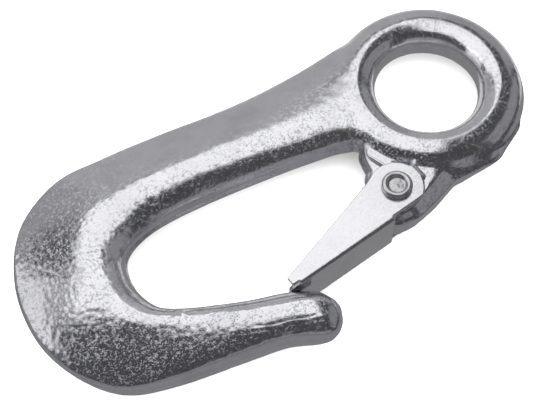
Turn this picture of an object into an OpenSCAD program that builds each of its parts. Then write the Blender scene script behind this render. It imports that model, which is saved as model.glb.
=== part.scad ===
// Fixed-eye safety snap hook: one drop forging, a sheet-steel latch on a
// tubular rivet, and a torsion spring.
// The hook lies flat: Z is the axis of the eye, the load runs along X, and the
// bowl is at -X. The origin is the centre of the eye at mid thickness.

/* [Eye] */
// Bore of the eye
bore_d = 19.05; // [17:0.05:20]
// Diameter of the forged bar around the eye
bar_d = 8.4; // [8.2:0.1:8.8]

/* [Lug] */
// Distance of the rivet from the eye, along the load line
rivet_back = 19.1; // [18.9:0.1:19.4]
// Distance of the rivet from the load line, on the throat side
rivet_side = 14.1; // [14:0.1:14.3]
// Height of the milled face that carries the spring, above mid plane
boss_top = 1.9; // [1.5:0.1:1.9]
// Depth of the milled face on the other side, below mid plane
boss_bottom = 3.6; // [3:0.1:3.6]

/* [Rivet] */
// Shank diameter of the rivet
rivet_d = 4.4; // [4:0.1:4.6]
// Radial clearance of the rivet in the lug
rivet_play = 0.05; // [0.02:0.01:0.1]
// Diameter of the hole in the tubular end
rivet_hole_d = 3; // [2.4:0.1:3.2]
// Depth of that hole below the rolled rim
rivet_hole_depth = 1.5; // [1:0.1:3]
// Diameter of the rolled end
clinch_d = 5.4; // [5.2:0.1:5.6]
// Thickness of the rolled rim
rim_d = 1.2; // [1:0.1:1.3]
// Diameter of the factory head
head_d = 7; // [6:0.1:7.6]
// Height of the factory head
head_h = 1.1; // [0.9:0.1:1.4]

/* [Latch] */
// Sheet thickness of the latch, which is also the radius of its bends
sheet = 0.75; // [0.7:0.05:0.8]
// Half the outer width of the channel
half_w = 4.65; // [4.6:0.05:4.75]
// Radius of the cheeks' round heads
cheek_r = 4.9; // [4.8:0.1:5]
// Reach of the cheeks from the rivet to the tip
latch_reach = 25.9; // [25.7:0.1:26]
// Distance of the web's outer face from the rivet
web_off = 4.85; // [4.8:0.05:4.9]

/* [Spring] */
// Wire diameter
wire_d = 0.6; // [0.5:0.05:0.6]
// Mean radius of the coil
coil_r = 3.5; // [3.3:0.1:3.6]

/* [Hidden] */
$fn = 72;

bar_r = bar_d / 2;
bore_r = bore_d / 2;
// The bar reaches 0.15 into the bore, which trims it to a true cylinder there.
ring_r = bore_r + bar_r - 0.15;
pin = [-rivet_back, -rivet_side];
// Half the inner width of the channel
inner_w = half_w - sheet;
// Distance of the web's inner face, and of the bends' centres, from the rivet
web_in = web_off - sheet;
// Where the arms of the cheeks start, behind the rivet
arm_start = 4;
// Where the web starts and ends, where its bends end, and how far its tongue
// is bent in.
web_start = pin.x - 4.2;
web_end = pin.x - 22.5;
bend_end = pin.x - 24.6;
TONGUE_ANGLE = 24;

// Cross-sections of the forging, from the eye round the bowl to the nose:
// inner edge x, y, outer edge x, y, width of the inner bead, half height at
// the crest, half height of the trimmed edge, and how full the outer flank is
// (0 hollow, 1 round).
STATIONS = [
    [2, 6, 4.6, 16.8, 6, 3.8, 0.3, 1],
    [-6, 2.5, -6.8, 17.1, 6.5, 4, 0.4, 0.95],
    [-14, -2.9, -15.4, 17.1, 6.6, 4.25, 0.5, 1],
    [-22, -0.2, -24.5, 17.6, 6.6, 4.5, 0.7, 0.8],
    [-31, 2.2, -34, 19, 6.6, 4.8, 0.9, 0.5],
    [-41, 4.4, -45, 21.4, 6.8, 5.1, 1, 0.36],
    [-51, 6.1, -55.9, 23.4, 6.8, 5.2, 1, 0.3],
    [-58.5, 6.3, -65.5, 24.3, 6.7, 5.2, 1, 0.26],
    [-63.6, 4.6, -75.2, 20.3, 6.2, 5.2, 1, 0.2],
    [-65.6, 1, -81.6, 11.6, 5.9, 5.2, 1, 0.24],
    [-65.8, -3, -84, 1.2, 5.4, 5.1, 1, 0.3],
    [-64.2, -7, -82.4, -8, 5, 5, 1.2, 0.3],
    [-60.3, -10, -77.6, -15.3, 4.8, 4.8, 1.6, 0.45],
    [-55.5, -12.7, -69.4, -19.2, 4.6, 4.6, 2.1, 0.6],
    [-50.7, -15.1, -57.9, -22.5, 4.4, 4.4, 2.2, 0.95],
    [-47.5, -16.5, -50.9, -24.6, 4.3, 4.2, 2, 0.95],
    [-45, -17.7, -46, -27.6, 4.4, 4.1, 1.5, 0.95],
    [-43.2, -18.8, -43.6, -28.3, 4.2, 3.8, 0.9, 1],
    [-41.4, -20.2, -41.5, -27.2, 3.1, 3.1, 0.5, 1],
    [-40.4, -22, -40.4, -25.6, 1.7, 1.9, 0.25, 1],
    [-39.9, -23.2, -39.9, -24.6, 0.7, 0.8, 0.1, 1],
];
STEPS = 3;
BEAD_POINTS = 7;
FLANK_POINTS = 8;

// Route of the spring's wire: the fixed leg against the eye, the coil, turning
// clockwise and rising, and the leg that pushes on the web.
SPRING_LOW = boss_top + wire_d / 2 + 0.05;
SPRING_HIGH = inner_w - wire_d / 2 - 0.05;
LEG_ANGLE = 17;
COIL_SWEEP = 467;
COIL_STEPS = 36;
FIXED_LEG = 8.4;
PUSH_LEG = 15;
WIRE_SIDES = 12;

// Catmull-Rom interpolation of the stations.
function station(i) = STATIONS[max(0, min(len(STATIONS) - 1, i))];
function spline(a, b, c, d, t) =
    0.5 * (2 * b + (c - a) * t + (2 * a - 5 * b + 4 * c - d) * t * t
    + (3 * b - a - 3 * c + d) * t * t * t);
function section_at(s) = let (i = floor(s))
    spline(station(i - 1), station(i), station(i + 1), station(i + 2), s - i);
// Runs from 0 to 1 with t, with a round start of radius r.
function soften(t, r) = (norm([t, r]) - r) / (norm([1, r]) - r);
// Height of the bead at a fraction t of its width from the crest, and of the
// flank, which is round or a straight taper with a rounded crest.
function bead(t) = sqrt(1 - pow(soften(t, 0.15), 1.4));
function flank(t, full) = full * sqrt(1 - t * t) + (1 - full) * (1 - soften(t, 0.12));
// Upper half of a section as [distance from the inner edge, height].
function half_section(q, width) = concat(
    [for (k = [0:BEAD_POINTS - 1]) let (a = 90 * k / BEAD_POINTS)
        [q[4] * (1 - cos(a)), q[5] * bead(cos(a))]],
    [for (k = [0:FLANK_POINTS]) let (t = sin(90 * k / FLANK_POINTS))
        [q[4] + (width - q[4]) * t, q[6] + (q[5] - q[6]) * flank(t, q[7])]]);
function section_points(q) =
    let (inner = [q[0], q[1]], outer = [q[2], q[3]], width = norm(outer - inner))
    let (dir = (outer - inner) / width, half = half_section(q, width), n = len(half))
    concat(
        [for (p = half) [inner.x + dir.x * p.x, inner.y + dir.y * p.x, p.y]],
        [for (k = [n - 1:-1:1]) let (p = half[k])
            [inner.x + dir.x * p.x, inner.y + dir.y * p.x, -p.y]]);

// Skins a row of rings, each with the same number of points.
module skin(rings) {
    n = len(rings[0]);
    m = len(rings);
    sides = [for (i = [0:m - 2], j = [0:n - 1])
        let (k = (j + 1) % n, a = i * n + j, b = i * n + k)
        each [[a, a + n, b], [b, a + n, b + n]]];
    caps = [[for (j = [0:n - 1]) j], [for (j = [n - 1:-1:0]) (m - 1) * n + j]];
    polyhedron(points = [for (r = rings, p = r) p], faces = concat(sides, caps), convexity = 6);
}

// Shank, bowl and nose of the hook.
module forged_bow() {
    last = (len(STATIONS) - 1) * STEPS;
    skin([for (i = [0:last]) section_points(section_at(i / STEPS))]);
}

module eye_ring() {
    rotate_extrude() translate([ring_r, 0]) circle(r = bar_r);
}

// A pad of the forged lug: its top face, its full outline at the parting line,
// and its bottom face. Each is [x, y, radius]; the flanks join them.
module pad(top, middle, bottom, high, low) {
    translate([top.x, top.y, 0]) cylinder(r = top.z, h = high, $fn = 32);
    translate([middle.x, middle.y, -0.7]) cylinder(r = middle.z, h = 1, $fn = 32);
    translate([bottom.x, bottom.y, -low]) cylinder(r = bottom.z, h = low, $fn = 32);
}

module rivet_pad() {
    pad([-18.6, -13.9, 4.1], [-18.1, -15.1, 4.3], [-18.4, -15.3, 3.9], boss_top, boss_bottom);
}

module middle_pad() {
    pad([-13.6, -13.4, 3], [-13.8, -14.4, 4.3], [-14, -14.6, 4.1], boss_top, boss_bottom);
}

module heel_pad() {
    pad([-9, -12.8, 1.9], [-8.4, -13.2, 4.1], [-8.2, -13.6, 3.8], boss_top, 2.8);
}

module tail_pad() {
    pad([0.5, -14.6, 1.6], [0.5, -14.2, 4.7], [0.5, -14, 4.3], 1.4, 2.4);
}

// Forged boss for the rivet, the heel that runs from it along the eye, and the
// lobe that closes the corner behind it.
module lug() {
    hull() {
        rivet_pad();
        pad([-19.8, -16.2, 1], [-21.1, -17.1, 1.6], [-21.2, -17.3, 1.5], boss_top, boss_bottom);
        middle_pad();
        pad([-17.6, -10.6, 3.2], [-18.2, -10.1, 3.3], [-17.9, -10.3, 3], boss_top, boss_bottom);
        pad([-14.4, -10, 3.4], [-14.4, -10, 3.6], [-14.4, -10, 3.4], boss_top, boss_bottom);
    }
    hull() {
        middle_pad();
        heel_pad();
    }
    hull() {
        heel_pad();
        tail_pad();
    }
    hull() {
        tail_pad();
        pad([6, -12.6, 1.6], [6, -12.6, 4.3], [6, -12.6, 3.8], 1.2, 2.4);
    }
    hull() {
        pad([-16, -6, 2.6], [-16.2, -5.5, 3.1], [-16.1, -5.6, 2.7], boss_top, 2.8);
        pad([-16.6, -9, 2.8], [-17, -9, 3.1], [-16.8, -9, 2.8], boss_top, 2.8);
        pad([-12, -6, 2.4], [-12, -6, 3], [-12, -6, 2.4], boss_top, 2.8);
    }
}

module hook_body() {
    color([0.62, 0.63, 0.66])
    difference() {
        union() {
            difference() {
                union() {
                    forged_bow();
                    lug();
                }
                // The eye's own bar takes over a little outside its crest.
                cylinder(r = ring_r + 1, h = 4 * bar_r, center = true);
            }
            eye_ring();
        }
        cylinder(r = bore_r, h = 4 * bar_r, center = true);
        translate([pin.x, pin.y, 0]) cylinder(r = rivet_d / 2 + rivet_play, h = 12, center = true);
    }
}

// Outline of a cheek: round head and tapering arm.
module cheek_outline() {
    intersection() {
        translate(pin) circle(r = cheek_r);
        translate([pin.x - arm_start, pin.y - web_in]) square([2 * cheek_r, 3 * cheek_r]);
    }
    polygon([
        [pin.x + 1.5, pin.y - web_in], [pin.x - latch_reach, pin.y - web_in],
        [pin.x - latch_reach, pin.y - 2.5], [pin.x - arm_start, pin.y + 3.6],
        [pin.x - 2.8, pin.y + 4.4], pin,
    ]);
}

// One cheek and its bend to the web; the other is its mirror image.
module cheek() {
    translate([0, 0, inner_w]) linear_extrude(sheet) cheek_outline();
    intersection() {
        translate([web_start, pin.y - web_in, inner_w]) rotate([0, -90, 0])
            cylinder(r = sheet, h = web_start - bend_end);
        translate([bend_end, pin.y - web_off, inner_w])
            cube([web_start - bend_end, sheet, sheet]);
    }
}

// Back of the channel.
module web() {
    translate([web_end, pin.y - web_off, -inner_w]) cube([web_start - web_end, sheet, 2 * inner_w]);
}

// Tongue at the end of the web, bent in to rest on the nose of the hook.
module tongue() {
    translate([web_end, pin.y - web_in, 0]) rotate([0, 0, -TONGUE_ANGLE]) rotate([90, 0, 0])
        linear_extrude(sheet)
        polygon([[0.3, -3.9], [0.3, 3.9], [-1.6, 3], [-3.4, 1.1], [-3.4, -1.1], [-1.6, -3]]);
}

// Tab bent down from the near cheek's head, which keeps the spring in place.
module stop_tab() {
    tab_w = 2.9;
    low = boss_top + 0.3;
    translate([pin.x, pin.y - tab_w / 2, 0]) {
        translate([2, 0, inner_w]) cube([cheek_r - 2, tab_w, sheet]);
        translate([cheek_r, 0, inner_w]) rotate([-90, 0, 0]) cylinder(r = sheet, h = tab_w);
        translate([cheek_r, 0, low]) cube([sheet, tab_w, inner_w - low]);
    }
}

module latch() {
    color([0.86, 0.86, 0.88])
    difference() {
        union() {
            cheek();
            mirror([0, 0, 1]) cheek();
            web();
            tongue();
            stop_tab();
        }
        translate([pin.x, pin.y, 0]) cylinder(r = rivet_d / 2, h = 12, center = true);
    }
}

module rivet() {
    rim_z = half_w + rim_d / 2 - 0.05;
    // Radius of the sphere that gives the factory head its dome
    dome_r = (head_d * head_d / 4 + head_h * head_h) / (2 * head_h);
    color([0.5, 0.51, 0.54])
    translate([pin.x, pin.y, 0]) difference() {
        union() {
            translate([0, 0, -half_w]) cylinder(r = rivet_d / 2, h = half_w + rim_z);
            translate([0, 0, rim_z]) rotate_extrude()
                translate([clinch_d / 2 - rim_d / 2, 0]) circle(r = rim_d / 2);
            intersection() {
                translate([0, 0, dome_r - half_w - head_h]) sphere(r = dome_r);
                translate([0, 0, -half_w - head_h]) cylinder(r = head_d / 2, h = head_h);
            }
        }
        translate([0, 0, rim_z + rim_d / 2 - rivet_hole_depth]) cylinder(r = rivet_hole_d / 2, h = 4);
    }
}

// Centre line of the spring's wire.
function spring_route() =
    let (out = [-sin(LEG_ANGLE), cos(LEG_ANGLE)], last = LEG_ANGLE - COIL_SWEEP)
    let (away = [sin(last), -cos(last)])
    let (coil = [for (i = [0:COIL_STEPS]) let (a = LEG_ANGLE - COIL_SWEEP * i / COIL_STEPS)
        [pin.x + coil_r * cos(a), pin.y + coil_r * sin(a),
         SPRING_LOW + (SPRING_HIGH - SPRING_LOW) * i / COIL_STEPS]])
    concat(
        [[coil[0].x + out.x * FIXED_LEG, coil[0].y + out.y * FIXED_LEG, SPRING_LOW]],
        coil,
        [[coil[COIL_STEPS].x + away.x * PUSH_LEG, coil[COIL_STEPS].y + away.y * PUSH_LEG, SPRING_HIGH]]);

module torsion_spring() {
    route = spring_route();
    n = len(route);
    color([0.75, 0.75, 0.78])
    skin([for (i = [0:n - 1])
        let (along = route[min(i + 1, n - 1)] - route[max(i - 1, 0)])
        let (side = cross(along, [0, 0, 1]) / norm(cross(along, [0, 0, 1])))
        let (up = cross(along, side) / norm(along))
        [for (j = [0:WIRE_SIDES - 1]) let (a = 360 * j / WIRE_SIDES)
            route[i] + wire_d / 2 * (side * cos(a) + up * sin(a))]]);
}

hook_body();
latch();
rivet();
torsion_spring();
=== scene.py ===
import math

import bmesh
import bpy
import numpy as np
from mathutils import Matrix, Vector, noise


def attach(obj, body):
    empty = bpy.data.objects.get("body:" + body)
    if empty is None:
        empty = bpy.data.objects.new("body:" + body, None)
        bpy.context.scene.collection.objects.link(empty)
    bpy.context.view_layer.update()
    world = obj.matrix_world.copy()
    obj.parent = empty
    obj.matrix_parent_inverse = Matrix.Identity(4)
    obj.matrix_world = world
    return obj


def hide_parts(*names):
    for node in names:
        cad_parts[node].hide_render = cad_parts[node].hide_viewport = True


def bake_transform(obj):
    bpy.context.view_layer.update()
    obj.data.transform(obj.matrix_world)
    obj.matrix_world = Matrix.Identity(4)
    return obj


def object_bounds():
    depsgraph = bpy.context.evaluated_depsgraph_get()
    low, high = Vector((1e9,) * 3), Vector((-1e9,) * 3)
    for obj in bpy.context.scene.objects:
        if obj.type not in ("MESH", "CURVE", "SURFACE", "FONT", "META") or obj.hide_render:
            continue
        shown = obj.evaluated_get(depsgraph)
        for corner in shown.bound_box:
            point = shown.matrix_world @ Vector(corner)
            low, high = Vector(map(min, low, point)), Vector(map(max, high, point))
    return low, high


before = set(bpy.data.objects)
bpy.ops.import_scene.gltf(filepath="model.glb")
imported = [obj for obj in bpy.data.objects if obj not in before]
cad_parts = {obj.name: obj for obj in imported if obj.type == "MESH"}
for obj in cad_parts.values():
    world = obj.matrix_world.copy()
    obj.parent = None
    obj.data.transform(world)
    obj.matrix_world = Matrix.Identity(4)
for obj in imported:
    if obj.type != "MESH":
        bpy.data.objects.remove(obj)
cad_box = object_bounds()
scene = bpy.context.scene

# Shapes are made in millimetres, in the row frame, and scaled to metres at the end.
MM = 0.001
BORE_R = 9.525
BAR_R = 4.2
RING_R = BORE_R + BAR_R - 0.15
PIN = np.array([-19.1, -14.1])
BOSS_TOP = 1.9
BOSS_BOTTOM = 3.6
# The latch: half its outer width, its sheet, and how far from the rivet its parts reach
HALF_W = 4.65
SHEET = 0.75
INNER_W = HALF_W - SHEET
WEB_OFF = 4.85
WEB_IN = WEB_OFF - SHEET
CHEEK_R = 4.9
REACH = 25.9
ARM_START = 4.0
WEB_START = 4.2
WEB_END = 22.5
BEND_END = 24.6
TONGUE_ANGLE = math.radians(24)
# Overlap of the pieces that the latch is joined from
OVERLAP = 0.02
RIVET_R = 2.2


# Mesh sizes of the forging and the sheet
FORGING_VOXEL = 0.24
SHEET_VOXEL = 0.13


# ---------------------------------------------------------------- mesh helpers

def new_object(name, verts, faces):
    mesh = bpy.data.meshes.new(name)
    mesh.from_pydata([tuple(v) for v in verts], [], [tuple(f) for f in faces])
    mesh.validate()
    obj = bpy.data.objects.new(name, mesh)
    scene.collection.objects.link(obj)
    return obj


def keep_modifiers(obj):
    """Replaces the object's mesh by what its modifiers make of it."""
    graph = bpy.context.evaluated_depsgraph_get()
    mesh = bpy.data.meshes.new_from_object(obj.evaluated_get(graph))
    obj.modifiers.clear()
    obj.data = mesh
    return obj


def voxel_remesh(obj, size):
    mod = obj.modifiers.new("remesh", "REMESH")
    mod.mode = "VOXEL"
    mod.voxel_size = size
    mod.adaptivity = 0.0
    return keep_modifiers(obj)


def points_of(obj):
    co = np.empty(len(obj.data.vertices) * 3)
    obj.data.vertices.foreach_get("co", co)
    return co.reshape(-1, 3)


def normals_of(obj):
    no = np.empty(len(obj.data.vertices) * 3, np.float32)
    obj.data.vertex_normals.foreach_get("vector", no)
    return no.reshape(-1, 3).astype(float)


def set_points(obj, co):
    obj.data.vertices.foreach_set("co", np.ascontiguousarray(co, dtype=np.float32).ravel())
    obj.data.update()


def edges_of(obj):
    ed = np.empty(len(obj.data.edges) * 2, np.int32)
    obj.data.edges.foreach_get("vertices", ed)
    return ed.reshape(-1, 2)


def relax(obj, rounds, weight=None, push_back=0.96):
    """Laplacian smoothing, with a weight for each vertex.

    Every second round pushes back, so that nothing shrinks unless push_back is 0.
    """
    co = points_of(obj)
    ed = edges_of(obj)
    n = len(co)
    count = np.bincount(ed.ravel(), minlength=n).clip(1)
    weight = np.ones(n) if weight is None else weight
    for i in range(rounds):
        total = np.zeros((n, 3))
        for k in range(3):
            total[:, k] = np.bincount(ed[:, 0], co[ed[:, 1], k], n)
            total[:, k] += np.bincount(ed[:, 1], co[ed[:, 0], k], n)
        step = 0.5 if i % 2 == 0 else -0.5 * push_back
        co += (weight * step)[:, None] * (total / count[:, None] - co)
    set_points(obj, co)


def smoothstep(x, low, high):
    t = np.clip((x - low) / (high - low), 0, 1)
    return t * t * (3 - 2 * t)


def perlin(co, scale, seed):
    """Perlin noise, -1 to 1, with features of about scale millimetres."""
    off = Vector((seed * 17.3, seed * 5.1, seed * 9.7))
    return np.array([noise.noise(Vector(p) / scale + off) for p in co])


def lumps(co, scale, seed):
    """Distance to the nearest of random points, in units of scale: the lumps of a forged skin."""
    off = Vector((seed * 3.7, seed * 11.9, seed * 7.3))
    return np.array([noise.voronoi(Vector(p) / scale + off)[0][0] for p in co])


def set_attribute(obj, name, values):
    attribute = obj.data.attributes.new(name, "FLOAT", "POINT")
    attribute.data.foreach_set("value", np.asarray(values, np.float32))


def finish_piece(obj, material, body, node):
    """Scales the piece to metres, gives it its material and puts it in the frame."""
    co = points_of(obj)
    set_points(obj, co * MM)
    obj.data.polygons.foreach_set("use_smooth", np.ones(len(obj.data.polygons), bool))
    obj.data.materials.clear()
    obj.data.materials.append(material)
    obj.data.update()
    if body:
        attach(obj, body)
    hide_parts(node)
    return obj


# ------------------------------------------------------------------- materials

def zinc(name, tint, rough, grain, grain_depth, stain, stain_scale, streak=0, pebble_depth=0):
    """Zinc-plated steel: metal with a fine grain and cloudy stains, and streaks or pebbles if asked for.

    The depths of grain, streaks and pebbles are in millimetres.
    """
    mat = bpy.data.materials.new(name)
    mat.use_nodes = True
    nt = mat.node_tree
    nt.nodes.clear()
    out = nt.nodes.new("ShaderNodeOutputMaterial")
    bsdf = nt.nodes.new("ShaderNodeBsdfPrincipled")
    bsdf.inputs["Metallic"].default_value = 1.0
    bsdf.inputs["IOR"].default_value = 1.5
    nt.links.new(bsdf.outputs[0], out.inputs[0])
    coord = nt.nodes.new("ShaderNodeTexCoord")

    def noise_node(scale, detail, rough_, squeeze=(1, 1, 1)):
        mapping = nt.nodes.new("ShaderNodeMapping")
        mapping.inputs["Scale"].default_value = squeeze
        nt.links.new(coord.outputs["Object"], mapping.inputs["Vector"])
        node = nt.nodes.new("ShaderNodeTexNoise")
        node.inputs["Scale"].default_value = scale
        node.inputs["Detail"].default_value = detail
        node.inputs["Roughness"].default_value = rough_
        nt.links.new(mapping.outputs[0], node.inputs["Vector"])
        return node.outputs["Fac"]

    def ramp(source, stops):
        node = nt.nodes.new("ShaderNodeValToRGB")
        node.color_ramp.elements[0].position = stops[0][0]
        node.color_ramp.elements[0].color = (*stops[0][1], 1)
        node.color_ramp.elements[1].position = stops[-1][0]
        node.color_ramp.elements[1].color = (*stops[-1][1], 1)
        for pos, colour in stops[1:-1]:
            node.color_ramp.elements.new(pos).color = (*colour, 1)
        nt.links.new(source, node.inputs[0])
        return node.outputs[0]

    def spread(source, low, high, to_low, to_high):
        node = nt.nodes.new("ShaderNodeMapRange")
        node.inputs["From Min"].default_value = low
        node.inputs["From Max"].default_value = high
        node.inputs["To Min"].default_value = to_low
        node.inputs["To Max"].default_value = to_high
        nt.links.new(source, node.inputs["Value"])
        return node.outputs[0]

    dark = tuple(c * (1 - stain) for c in tint)
    light = tuple(min(1, c * (1 + stain * 0.35)) for c in tint)
    clouds = noise_node(stain_scale, 4, 0.6)
    nt.links.new(ramp(clouds, [(0.3, dark), (0.52, tint), (0.72, light)]), bsdf.inputs["Base Color"])
    fine = noise_node(grain, 3, 0.65)
    nt.links.new(spread(fine, 0.3, 0.7, rough * 0.75, rough * 1.3), bsdf.inputs["Roughness"])
    bump = nt.nodes.new("ShaderNodeBump")
    bump.inputs["Strength"].default_value = 1.0
    bump.inputs["Distance"].default_value = grain_depth * MM
    nt.links.new(fine, bump.inputs["Height"])
    last = bump
    if streak:
        lines = noise_node(grain * 0.9, 2, 0.5, (0.06, 1, 0.6))
        second = nt.nodes.new("ShaderNodeBump")
        second.inputs["Strength"].default_value = 1.0
        second.inputs["Distance"].default_value = streak * MM
        nt.links.new(lines, second.inputs["Height"])
        nt.links.new(bump.outputs[0], second.inputs["Normal"])
        last = second
    if pebble_depth:
        # Pits and plateaus with steep sides, as deep as the skin's own attribute says
        coarse = spread(noise_node(1500, 4, 0.64), 0.57, 0.66, 0, 0.5)
        crumbs = spread(noise_node(3300, 3, 0.6), 0.59, 0.68, 0, 0.4)
        both = nt.nodes.new("ShaderNodeMath")
        both.operation = "ADD"
        nt.links.new(coarse, both.inputs[0])
        nt.links.new(crumbs, both.inputs[1])
        skin_depth = nt.nodes.new("ShaderNodeAttribute")
        skin_depth.attribute_name = "pebbles"
        product = nt.nodes.new("ShaderNodeMath")
        product.operation = "MULTIPLY"
        nt.links.new(both.outputs[0], product.inputs[0])
        nt.links.new(skin_depth.outputs["Fac"], product.inputs[1])
        third = nt.nodes.new("ShaderNodeBump")
        third.inputs["Strength"].default_value = 1.0
        third.inputs["Distance"].default_value = pebble_depth * MM
        nt.links.new(product.outputs[0], third.inputs["Height"])
        nt.links.new(last.outputs[0], third.inputs["Normal"])
        last = third
    nt.links.new(last.outputs[0], bsdf.inputs["Normal"])
    return mat


# ------------------------------------------------------------------ the forging

# Inner edge x, y, outer edge x, y, width of the inner bead, half height at the crest,
# half height of the trimmed edge, and how full the outer flank is.
STATIONS = np.array([
    [2, 6, 4.6, 16.8, 6, 3.8, 0.3, 1],
    [-6, 2.5, -6.8, 17.1, 6.5, 4, 0.4, 0.95],
    [-14, -2.9, -15.4, 17.1, 6.6, 4.25, 0.5, 1],
    [-22, -0.2, -24.5, 17.6, 6.6, 4.5, 0.7, 0.8],
    [-31, 2.2, -34, 19, 6.6, 4.8, 0.9, 0.5],
    [-41, 4.4, -45, 21.4, 6.8, 5.1, 1, 0.36],
    [-51, 6.1, -55.9, 23.4, 6.8, 5.2, 1, 0.3],
    [-58.5, 6.3, -65.5, 24.3, 6.7, 5.2, 1, 0.26],
    [-63.6, 4.6, -75.2, 20.3, 6.2, 5.2, 1, 0.2],
    [-65.6, 1, -81.6, 11.6, 5.9, 5.2, 1, 0.24],
    [-65.8, -3, -84, 1.2, 5.4, 5.1, 1, 0.3],
    [-64.2, -7, -82.4, -8, 5, 5, 1.2, 0.3],
    [-60.3, -10, -77.6, -15.3, 4.8, 4.8, 1.6, 0.45],
    [-55.5, -12.7, -69.4, -19.2, 4.6, 4.6, 2.1, 0.6],
    [-50.7, -15.1, -57.9, -22.5, 4.4, 4.4, 2.2, 0.95],
    [-47.5, -16.5, -50.9, -24.6, 4.3, 4.2, 2, 0.95],
    [-45, -17.7, -46, -27.6, 4.4, 4.1, 1.5, 0.95],
    [-43.2, -18.8, -43.6, -28.3, 4.2, 3.8, 0.9, 1],
    [-41.4, -20.2, -41.5, -27.2, 3.1, 3.1, 0.5, 1],
    [-40.4, -22, -40.4, -25.6, 1.7, 1.9, 0.25, 1],
    [-39.9, -23.2, -39.9, -24.6, 0.7, 0.8, 0.1, 1],
])


def station(i):
    return STATIONS[max(0, min(len(STATIONS) - 1, i))]


def section_at(s):
    i = int(s)
    t = s - i
    a, b, c, d = station(i - 1), station(i), station(i + 1), station(i + 2)
    square = 2 * a - 5 * b + 4 * c - d
    cube = 3 * b - a - 3 * c + d
    return 0.5 * (2 * b + (c - a) * t + square * t * t + cube * t ** 3)


def soften(t, r):
    """Runs from 0 to 1 with t, with a round start of radius r."""
    return (math.hypot(t, r) - r) / (math.hypot(1, r) - r)


def section_points(q, bead=22, flank=30, land=5):
    """One closed section: bead, flank and trimmed edge, with the parting ridge on the bead."""
    inner, outer = q[0:2], q[2:4]
    width = np.linalg.norm(outer - inner)
    along = (outer - inner) / width
    half = []
    for k in range(bead):
        a = math.pi / 2 * k / bead
        z = q[5] * math.sqrt(1 - soften(math.cos(a), 0.15) ** 1.4)
        ridge = 0.16 * math.exp(-(z / 0.3) ** 2)
        half.append((q[4] * (1 - math.cos(a)) - ridge, z))
    for k in range(flank + 1):
        t = math.sin(math.pi / 2 * k / flank)
        full = q[7] * math.sqrt(max(0, 1 - t * t)) + (1 - q[7]) * (1 - soften(t, 0.12))
        half.append((q[4] + (width - q[4]) * t, q[6] + (q[5] - q[6]) * full))
    for k in range(1, land):
        half.append((width, q[6] * (1 - k / land)))
    lower = [(d, -z) for d, z in reversed(half[1:])]
    return [(*(inner + along * d), z) for d, z in half + [(width, 0)] + lower]


def skin(rings):
    n, m = len(rings[0]), len(rings)
    verts = [p for r in rings for p in r]
    faces = []
    for i in range(m - 1):
        for j in range(n):
            k = (j + 1) % n
            faces.append((i * n + j, (i + 1) * n + j, (i + 1) * n + k, i * n + k))
    faces.append(tuple(range(n)))
    faces.append(tuple(reversed(range((m - 1) * n, m * n))))
    return verts, faces


def torus(major, minor, n=256, m=72):
    verts = []
    for i in range(n):
        a = 2 * math.pi * i / n
        for j in range(m):
            b = 2 * math.pi * j / m
            r = major + minor * math.cos(b)
            verts.append((r * math.cos(a), r * math.sin(a), minor * math.sin(b)))
    faces = [(i * m + j, (i + 1) % n * m + j, (i + 1) % n * m + (j + 1) % m, i * m + (j + 1) % m)
             for i in range(n) for j in range(m)]
    return verts, faces


def turn_faces_out(obj):
    bm = bmesh.new()
    bm.from_mesh(obj.data)
    bmesh.ops.recalc_face_normals(bm, faces=bm.faces)
    bm.to_mesh(obj.data)
    bm.free()


def hull_of(points):
    bm = bmesh.new()
    for p in points:
        bm.verts.new(p)
    result = bmesh.ops.convex_hull(bm, input=bm.verts)
    spare = {g for g in result["geom_interior"] + result["geom_unused"] if isinstance(g, bmesh.types.BMVert)}
    bmesh.ops.delete(bm, geom=list(spare), context="VERTS")
    bmesh.ops.recalc_face_normals(bm, faces=bm.faces)
    bm.verts.index_update()
    verts = [tuple(v.co) for v in bm.verts]
    faces = [tuple(v.index for v in f.verts) for f in bm.faces]
    bm.free()
    return verts, faces


def pad(top, middle, bottom, high, low, n=64):
    """Points of a pad of the lug.

    Its top face, its outline at the parting line and its bottom face are each x, y, radius.
    """
    points = []
    for (x, y, r), z in ((top, high), (top, 0), (middle, 0.3), (middle, -0.7), (bottom, -low), (bottom, 0)):
        for k in range(n):
            a = 2 * math.pi * k / n
            points.append((x + r * math.cos(a), y + r * math.sin(a), z))
    return points


RIVET_PAD = pad((-18.6, -13.9, 4.1), (-18.1, -15.1, 4.3), (-18.4, -15.3, 3.9), BOSS_TOP, BOSS_BOTTOM)
CORNER_PAD = pad((-19.8, -16.2, 1), (-21.1, -17.1, 1.6), (-21.2, -17.3, 1.5), BOSS_TOP, BOSS_BOTTOM)
MIDDLE_PAD = pad((-13.6, -13.4, 3), (-13.8, -14.4, 4.3), (-14, -14.6, 4.1), BOSS_TOP, BOSS_BOTTOM)
NORTH_PAD = pad((-17.6, -10.6, 3.2), (-18.2, -10.1, 3.3), (-17.9, -10.3, 3), BOSS_TOP, BOSS_BOTTOM)
EYE_PAD = pad((-14.4, -10, 3.4), (-14.4, -10, 3.6), (-14.4, -10, 3.4), BOSS_TOP, BOSS_BOTTOM)
HEEL_PAD = pad((-9, -12.8, 1.9), (-8.4, -13.2, 4.1), (-8.2, -13.6, 3.8), BOSS_TOP, 2.8)
TAIL_PAD = pad((0.5, -14.6, 1.6), (0.5, -14.2, 4.7), (0.5, -14, 4.3), 1.4, 2.4)
END_PAD = pad((6, -12.6, 1.6), (6, -12.6, 4.3), (6, -12.6, 3.8), 1.2, 2.4)
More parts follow.
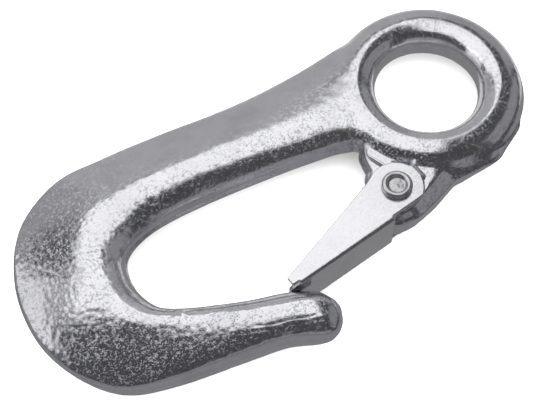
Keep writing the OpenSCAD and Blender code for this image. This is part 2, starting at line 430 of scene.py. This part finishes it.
LOBE = (pad((-16, -6, 2.6), (-16.2, -5.5, 3.1), (-16.1, -5.6, 2.7), BOSS_TOP, 2.8)
        + pad((-16.6, -9, 2.8), (-17, -9, 3.1), (-16.8, -9, 2.8), BOSS_TOP, 2.8)
        + pad((-12, -6, 2.4), (-12, -6, 3), (-12, -6, 2.4), BOSS_TOP, 2.8))


def join_shapes(name, shapes):
    verts, faces = [], []
    for v, f in shapes:
        base = len(verts)
        verts += list(v)
        faces += [tuple(base + i for i in face) for face in f]
    return new_object(name, verts, faces)


def forging():
    steps = 12
    last = (len(STATIONS) - 1) * steps
    bow = skin([section_points(section_at(i / steps)) for i in range(last + 1)])
    shapes = [bow, torus(RING_R, BAR_R),
              hull_of(RIVET_PAD + CORNER_PAD + MIDDLE_PAD + NORTH_PAD + EYE_PAD),
              hull_of(MIDDLE_PAD + HEEL_PAD), hull_of(HEEL_PAD + TAIL_PAD),
              hull_of(TAIL_PAD + END_PAD), hull_of(LOBE)]
    obj = join_shapes("hook_forging", shapes)
    voxel_remesh(obj, FORGING_VOXEL)
    co = points_of(obj)
    rho = np.hypot(co[:, 0], co[:, 1])
    # The bow and the lug must not fill the eye, so what lies inside the bar goes back onto it.
    bar = np.hypot(rho - RING_R, co[:, 2])
    inside = (rho < RING_R) & (bar > BAR_R - 0.3)
    scale = np.where(inside, BAR_R / np.maximum(bar, 1e-6), 1)
    squash = np.where(inside, (RING_R - BORE_R) / BAR_R, 1)
    new_rho = RING_R + (rho - RING_R) * scale * squash
    co[:, 2] *= scale
    co[:, :2] *= (new_rho / np.maximum(rho, 1e-6))[:, None]
    set_points(obj, co)

    # Fillets: strong smoothing where the eye, the shank and the lug run into each other.
    co = points_of(obj)
    rho = np.hypot(co[:, 0], co[:, 1])
    off_bar = np.abs(np.hypot(rho - RING_R, co[:, 2]) - BAR_R)
    junction = smoothstep(-off_bar, -1.6, -0.3) * smoothstep(rho, RING_R - 1, RING_R + 1.5)
    junction *= smoothstep(-co[:, 0], -12, -2)
    lug = smoothstep(-co[:, 1], 2.5, 5) * smoothstep(-co[:, 0], -10, -4) * smoothstep(co[:, 0], -26, -22)
    weight = np.clip(0.15 + 0.85 * np.maximum(junction, 0.75 * lug), 0, 1)
    relax(obj, 4)
    relax(obj, 60, weight=weight)
    relax(obj, 160, weight=junction * smoothstep(-rho, -19.5, -17.5), push_back=0)
    return obj


def trim_forging(obj):
    """Cuts the lug's milled face again."""
    co = points_of(obj)
    from_pin = np.hypot(co[:, 0] - PIN[0], co[:, 1] - PIN[1])
    face = (from_pin < 6.4) & (co[:, 2] > BOSS_TOP - 0.1) & (co[:, 2] < BOSS_TOP + 1.5)
    co[face, 2] = BOSS_TOP
    set_points(obj, co)


def forge_skin(obj):
    """The pebbled skin of a drop forging: shallow lumps and dents, none on trimmed edges."""
    co = points_of(obj)
    no = normals_of(obj)
    rho = np.hypot(co[:, 0], co[:, 1])
    from_pin = np.hypot(co[:, 0] - PIN[0], co[:, 1] - PIN[1])
    open_face = smoothstep(np.abs(no[:, 2]), 0.08, 0.4)
    bowl = smoothstep(-co[:, 0], 38, 62)
    strength = open_face * (0.8 + 0.2 * bowl)
    on_bar = smoothstep(-np.hypot(rho - RING_R, co[:, 2]), -4.6, -4.3)
    strength *= 1 - 0.2 * on_bar * smoothstep(co[:, 0], -14, 0)
    shank_flank = smoothstep(no[:, 1], 0.08, 0.25)
    shank_flank *= smoothstep(-co[:, 0], 14, 20) * smoothstep(co[:, 0], -60, -50)
    strength *= 1 - 0.45 * shank_flank
    lug_flank = smoothstep(-no[:, 1], 0.4, 0.7)
    lug_flank *= smoothstep(-co[:, 1], 12, 14) * smoothstep(co[:, 0], -24, -20)
    strength = np.maximum(strength, 0.5 * lug_flank * smoothstep(co[:, 2], -1.5, -0.5))
    milled = (from_pin < 6.6) & (np.abs(co[:, 2] - BOSS_TOP) < 0.12)
    milled |= rho < BORE_R + 0.12
    strength[milled] = 0
    broad = perlin(co, 7.0, 1)
    height = 0.05 * broad * (0.4 + 0.6 * open_face)
    small = lumps(co, 1.0, 2)
    patches = smoothstep(perlin(co, 5.0, 4), -0.5, 0.4)
    height += strength * bowl * 0.07 * (0.45 - small) * (0.6 + 0.4 * patches)
    height += strength * (1 - bowl) * 0.035 * perlin(co, 1.6, 13)
    # Trimmed flash round the outside of the eye
    height += 0.24 * np.exp(-(co[:, 2] / 0.45) ** 2) * smoothstep(rho, RING_R + 2.5, RING_R + 3.8)
    # A crease where the arm leaves the bowl, and laps along the lower flank of the nose
    start, end = np.array([-63.1, -9.2]), np.array([-62.2, -13.2])
    run = end - start
    t = np.clip(((co[:, :2] - start) @ run) / (run @ run), 0, 1)
    to_crease = np.linalg.norm(co[:, :2] - start - t[:, None] * run, axis=1)
    fade = np.sin(math.pi * np.clip(t, 0.05, 0.95))
    height += 0.2 * np.exp(-(to_crease / 0.25) ** 2) * (co[:, 2] > 2.5) * fade
    deep = (co[:, 0] + 52) * 0.394 + (co[:, 1] + 25) * 0.919
    lap = smoothstep(deep, 0.6, 1.1) * smoothstep(-deep, -3.6, -2.8) * (co[:, 2] > 1)
    lap *= smoothstep(co[:, 0], -58, -54) * smoothstep(-co[:, 0], 42.5, 44)
    height += 0.035 * lap * np.sin(2 * math.pi * (deep + 0.5 * perlin(co, 4.0, 11)) / 0.85)
    height[milled] = 0
    set_points(obj, co + no * height[:, None])
    set_attribute(obj, "pebbles", strength * (0.55 + 0.45 * patches))


hook = forging()
trim_forging(hook)
forge_skin(hook)
zinc_forged = zinc("zinc_on_forging", (0.80, 0.80, 0.835), rough=0.13, grain=4200, grain_depth=0.010,
                   stain=0.1, stain_scale=160, pebble_depth=0.062)
finish_piece(hook, zinc_forged, "hook", "hook_body")


# -------------------------------------------------------------------- the latch

def prism(outline, low, high):
    n = len(outline)
    verts = [(x, y, low) for x, y in outline] + [(x, y, high) for x, y in outline]
    faces = [tuple(reversed(range(n))), tuple(range(n, 2 * n))]
    faces += [(i, (i + 1) % n, n + (i + 1) % n, n + i) for i in range(n)]
    return verts, faces


def cheek_outline():
    """Outline of a cheek, counter-clockwise: straight lower edge, round head and tapering arm."""
    px, py = PIN
    low = py - WEB_IN - OVERLAP
    points = [(px - REACH, low), (px + 2.3, low)]
    start = -math.asin(WEB_IN / CHEEK_R)
    end = math.radians(122)
    steps = 48
    for k in range(steps + 1):
        a = start + (end - start) * k / steps
        points.append((px + CHEEK_R * math.cos(a), py + CHEEK_R * math.sin(a)))
    points += [(px - ARM_START, py + 3.6), (px - REACH, py - 2.5)]
    return points


def bend_profile(n=14):
    """Outer quarter circle of a bend with a small inner radius, as y, z relative to its centre."""
    r_in = 0.12
    outer = [(-SHEET * math.sin(math.pi / 2 * k / n), SHEET * math.cos(math.pi / 2 * k / n))
             for k in range(n + 1)]
    inner = [(r_in - r_in * math.sin(a), -r_in + r_in * math.cos(a))
             for a in [math.pi / 2 * (1 - k / 6) for k in range(7)]]
    return outer + inner


def latch_sheet():
    px, py = PIN
    outline = cheek_outline()
    shapes = [prism(outline, INNER_W, HALF_W), prism(outline, -HALF_W, -INNER_W)]
    x0, x1 = px - BEND_END, px - WEB_START
    for side in (1, -1):
        ring = [(py - WEB_IN + y, side * (INNER_W + z)) for y, z in bend_profile()]
        if side < 0:
            ring.reverse()
        n = len(ring)
        verts = [(x0, y, z) for y, z in ring] + [(x1, y, z) for y, z in ring]
        faces = [tuple(range(n)), tuple(reversed(range(n, 2 * n)))]
        faces += [(i, n + i, n + (i + 1) % n, (i + 1) % n) for i in range(n)]
        shapes.append((verts, faces))
    end_x, web_y = px - WEB_END, py - WEB_IN
    web = [(end_x, py - WEB_OFF), (x1, py - WEB_OFF), (x1, web_y + OVERLAP), (end_x, web_y + OVERLAP)]
    shapes.append(prism(web, -INNER_W - OVERLAP, INNER_W + OVERLAP))
    # Tongue, bent in
    c, s = math.cos(TONGUE_ANGLE), math.sin(TONGUE_ANGLE)
    edge = [(0.3, 3.9), (-1.6, 3.0), (-2.9, 1.7), (-3.4, 0.9)]
    flat = [(0.3, -3.9)] + edge + [(u, -w) for u, w in reversed(edge[1:])]
    verts = [(end_x + u * c + d * s, web_y - u * s + d * c, w) for d in (0, -SHEET) for u, w in flat]
    n = len(flat)
    faces = [tuple(reversed(range(n))), tuple(range(n, 2 * n))]
    faces += [(i, (i + 1) % n, n + (i + 1) % n, n + i) for i in range(n)]
    shapes.append((verts, faces))
    # Stop tab, bent down from the near cheek
    w, low = 1.45, BOSS_TOP + 0.3
    bend_r = 1.3
    turns = [math.pi / 2 * k / 10 for k in range(11)]
    bend = [(4.6 + bend_r * math.sin(a), HALF_W - bend_r + bend_r * math.cos(a)) for a in turns]
    ring = [(px + 2, HALF_W)] + [(px + x, z) for x, z in bend]
    ring += [(px + 5.9, low), (px + 5.1, low), (px + 4.9, INNER_W), (px + 2, INNER_W)]
    n = len(ring)
    verts = [(x, py + 0.4 - w, z) for x, z in ring] + [(x, py + 0.4 + w, z) for x, z in ring]
    faces = [tuple(range(n)), tuple(reversed(range(n, 2 * n)))]
    faces += [(i, n + i, n + (i + 1) % n, (i + 1) % n) for i in range(n)]
    shapes.append((verts, faces))
    obj = join_shapes("latch_sheet", shapes)
    turn_faces_out(obj)
    voxel_remesh(obj, SHEET_VOXEL)
    relax(obj, 8)
    # The dimple that the press leaves in the web near the tip
    co = points_of(obj)
    no = normals_of(obj)
    dx, z = co[:, 0] - (px - 21.4), co[:, 2] - 0.3
    dimple = np.exp(-(dx / 1.3) ** 2 - (z / 1.0) ** 2) * (np.abs(co[:, 1] - (py - WEB_OFF + 0.4)) < 0.9)
    co[:, 1] += 0.32 * dimple
    wave = perlin(co, 9.0, 6)
    co += no * (0.006 * wave)[:, None]
    set_points(obj, co)
    return obj


latch = latch_sheet()
zinc_sheet = zinc("zinc_on_sheet", (0.84, 0.84, 0.865), rough=0.24, grain=1900, grain_depth=0.012,
                  stain=0.06, stain_scale=140)
finish_piece(latch, zinc_sheet, "latch", "latch")


# -------------------------------------------------------------------- the rivet

def lathe(name, profile, n=96):
    """Turns a profile of r, z points, from axis to axis, about the rivet's centre line."""
    verts, rows = [], []
    for r, z in profile:
        if r < 1e-6:
            rows.append([len(verts)])
            verts.append((PIN[0], PIN[1], z))
        else:
            rows.append(list(range(len(verts), len(verts) + n)))
            for k in range(n):
                a = 2 * math.pi * k / n
                verts.append((PIN[0] + r * math.cos(a), PIN[1] + r * math.sin(a), z))
    faces = []
    for a, b in zip(rows, rows[1:]):
        for k in range(n):
            quad = [a[k % len(a)], a[(k + 1) % len(a)], b[(k + 1) % len(b)], b[k % len(b)]]
            face = [v for i, v in enumerate(quad) if v not in quad[:i]]
            if len(face) > 2:
                faces.append(face)
    return new_object(name, verts, faces)


def arc(cx, cz, r, start, end, n):
    return [(cx + r * math.cos(math.radians(start + (end - start) * k / n)),
             cz + r * math.sin(math.radians(start + (end - start) * k / n))) for k in range(n + 1)]


def rivet_shape():
    rim_z = HALF_W + 0.55
    floor = rim_z + 0.6 - 0.72
    profile = [(0, -HALF_W - 1.1), (0.8, -HALF_W - 1.08), (1.6, -HALF_W - 1.0), (2.3, -HALF_W - 0.86)]
    profile += arc(3.0, -HALF_W - 0.42, 0.42, -60, 0, 8)
    profile += [(3.42, -HALF_W - 0.1), (3.3, -HALF_W)]
    profile += [(RIVET_R, -HALF_W), (RIVET_R, 0), (RIVET_R, HALF_W - 0.02)]
    profile += arc(2.14, rim_z, 0.6, -50, 180, 28)
    profile += arc(1.34, floor + 0.2, 0.2, 0, -90, 6)
    profile += [(r, floor + 0.08 * (1.3 - r)) for r in (1.1, 0.9, 0.7, 0.5, 0.3, 0.15)]
    profile += [(0, floor + 0.1)]
    obj = lathe("rivet_tubular", profile)
    turn_faces_out(obj)
    mod = obj.modifiers.new("finer", "SUBSURF")
    mod.subdivision_type = "SIMPLE"
    mod.levels = 1
    keep_modifiers(obj)
    co = points_of(obj)
    no = normals_of(obj)
    r = np.hypot(co[:, 0] - PIN[0], co[:, 1] - PIN[1])
    rough = smoothstep(-r, -1.45, -1.2) * (co[:, 2] > HALF_W)
    height = 0.05 * rough * perlin(co, 0.7, 8) + 0.008 * perlin(co, 0.8, 9)
    set_points(obj, co + no * height[:, None])
    return obj


rivet = rivet_shape()
zinc_rivet = zinc("zinc_on_rivet", (0.64, 0.64, 0.66), rough=0.3, grain=1800, grain_depth=0.008,
                  stain=0.12, stain_scale=300)
finish_piece(rivet, zinc_rivet, "latch", "rivet")


# ------------------------------------------------------------------- the spring

WIRE_R = 0.3
COIL_R = 3.5
LEG_ANGLE = math.radians(17)
COIL_SWEEP = math.radians(467)
FIXED_LEG = 8.4
PUSH_LEG = 15
LOW = BOSS_TOP + WIRE_R + 0.05
HIGH = INNER_W - WIRE_R - 0.05


def spring_route():
    """Centre line of the wire: the fixed leg, the coil, and the leg that pushes on the web."""
    px, py = PIN
    steps = 150
    coil = []
    for i in range(steps + 1):
        a = LEG_ANGLE - COIL_SWEEP * i / steps
        rise = float(smoothstep(np.array(i / steps), 0.0, 1.0))
        z = LOW + (HIGH - LOW) * rise
        coil.append(np.array([px + COIL_R * math.cos(a), py + COIL_R * math.sin(a), z]))
    back = np.array([-math.sin(LEG_ANGLE), math.cos(LEG_ANGLE), 0])
    end = LEG_ANGLE - COIL_SWEEP
    away = np.array([math.sin(end), -math.cos(end), 0])
    first = [coil[0] + back * d for d in np.linspace(FIXED_LEG, 0.4, 22)]
    last = [coil[-1] + away * d for d in np.linspace(0.4, PUSH_LEG, 38)]
    return np.array(first + coil + last)


def tube(name, route, r, sides=16):
    """A round wire along a route, with its two ends slightly rounded."""
    rings = []
    for i, p in enumerate(route):
        along = route[min(i + 1, len(route) - 1)] - route[max(i - 1, 0)]
        along /= np.linalg.norm(along)
        side = np.cross(along, [0, 0, 1])
        side /= np.linalg.norm(side)
        up = np.cross(along, side)
        end = min(i, len(route) - 1 - i)
        thin = (0.72, 0.95, 1)[min(end, 2)]
        rings.append([tuple(p + r * thin * (side * math.cos(2 * math.pi * j / sides)
                                            + up * math.sin(2 * math.pi * j / sides))) for j in range(sides)])
    verts, faces = skin(rings)
    obj = new_object(name, verts, faces)
    turn_faces_out(obj)
    return obj


spring = tube("spring_wire", spring_route(), WIRE_R)
zinc_wire = zinc("drawn_wire", (0.80, 0.80, 0.82), rough=0.2, grain=1500, grain_depth=0.008,
                 stain=0.08, stain_scale=400, streak=0.004)
finish_piece(spring, zinc_wire, None, "torsion_spring")
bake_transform(spring)


# ------------------------------------------------------- floor, lights, camera

# The camera stands on the throat side. Directions in the studio: away from the camera, to its right, and up.
AWAY = Vector((0.6018, 0.7986, 0))
RIGHT = Vector((0.7986, -0.6018, 0))
UP = Vector((0, 0, 1))


def in_studio(right, away, height):
    """A point given in millimetres from the object's middle, as the camera sees it."""
    return middle + (RIGHT * right + AWAY * away + UP * height) * MM


def panel(name, centre, facing, size, radiance, glossy=True, diffuse=False):
    """A softbox of a given brightness, its sides in millimetres; its long side lies level."""
    data = bpy.data.lights.new(name, "AREA")
    data.shape = "RECTANGLE"
    data.size, data.size_y = size[0] * MM, size[1] * MM
    data.energy = radiance * math.pi * data.size * data.size_y
    obj = bpy.data.objects.new(name, data)
    scene.collection.objects.link(obj)
    back_dir = (Vector(centre) - Vector(facing)).normalized()
    side = RIGHT.copy() if abs(back_dir.z) > 0.9 else UP.cross(back_dir).normalized()
    turn = Matrix((side, back_dir.cross(side), back_dir)).transposed()
    obj.matrix_world = Matrix.Translation(centre) @ turn.to_4x4()
    obj.visible_glossy = glossy
    obj.visible_diffuse = diffuse
    return obj


low_corner, high_corner = cad_box
# The floor lies a fiftieth of a millimetre under the lowest point.
floor_z = low_corner[2] - 0.00002
middle = Vector(((low_corner[0] + high_corner[0]) / 2, (low_corner[1] + high_corner[1]) / 2, 0))

FLOOR_SIZE = 12
bpy.ops.mesh.primitive_plane_add(size=FLOOR_SIZE, location=(middle.x, middle.y, floor_z))
floor = bpy.context.object
floor.name = "floor"
paper = bpy.data.materials.new("pale_paper")
paper.use_nodes = True
shade = paper.node_tree.nodes["Principled BSDF"]
shade.inputs["Base Color"].default_value = (0.9, 0.9, 0.9, 1)
shade.inputs["Roughness"].default_value = 0.9
shade.inputs["Specular IOR Level"].default_value = 0.1
floor.data.materials.append(paper)
floor.visible_glossy = False

panel("overhead_left", in_studio(-60, 29, 80), in_studio(-60, 29, 0), (64, 100), 1.02)
panel("overhead_right", in_studio(6, 36.5, 80), in_studio(6, 36.5, 0), (68, 115), 1.02)
panel("left_box", in_studio(-200, -8, 120), in_studio(0, -8, 120), (135, 140), 0.8)
panel("far_box", in_studio(-70, 350, 130), in_studio(-70, 0, 130), (340, 340), 0.34)
panel("far_right", in_studio(250, 350, 130), in_studio(250, 0, 130), (300, 340), 0.24)
panel("far_left", in_studio(-330, 280, 130), in_studio(0, 0, 130), (240, 340), 0.24)
panel("right_side", in_studio(330, 60, 150), in_studio(0, 60, 150), (360, 300), 0.19)
panel("near_low", in_studio(0, -400, 40), in_studio(0, 0, 40), (900, 220), 0.2)
panel("left_low", in_studio(-380, -20, 20), in_studio(0, -20, 20), (400, 120), 0.24)
panel("far_paper", in_studio(0, 260, -60), in_studio(0, 260, 0), (500, 360), 0.45)
panel("under", in_studio(0, 0, -260), in_studio(0, 0, 0), (1600, 1600), 0.17)
panel("paper_light", in_studio(0, 0, 1200), in_studio(0, 0, 0), (5000, 5000), 4.2, glossy=False, diffuse=True)

world = bpy.data.worlds.new("studio")
scene.world = world
world.use_nodes = True
world.node_tree.nodes["Background"].inputs["Color"].default_value = (0.07, 0.07, 0.074, 1)
world.node_tree.nodes["Background"].inputs["Strength"].default_value = 1.0

camera_data = bpy.data.cameras.new("camera")
camera = bpy.data.objects.new("camera", camera_data)
scene.collection.objects.link(camera)
camera_distance = 0.2471
camera_data.sensor_width = 36
camera_data.lens = 93.6803
target = Vector((-0.03705, -0.001, 0))
back = Vector((-0.2918, -0.3872, 0.8746)).normalized()
camera.location = target + back * camera_distance
camera.rotation_mode = "QUATERNION"
camera.rotation_quaternion = back.to_track_quat("Z", "Y")
camera_data.clip_start = 0.01
camera_data.clip_end = 10
scene.camera = camera

scene.view_settings.view_transform = "Standard"
scene.view_settings.look = "None"
scene.view_settings.exposure = 0
scene.view_settings.gamma = 1
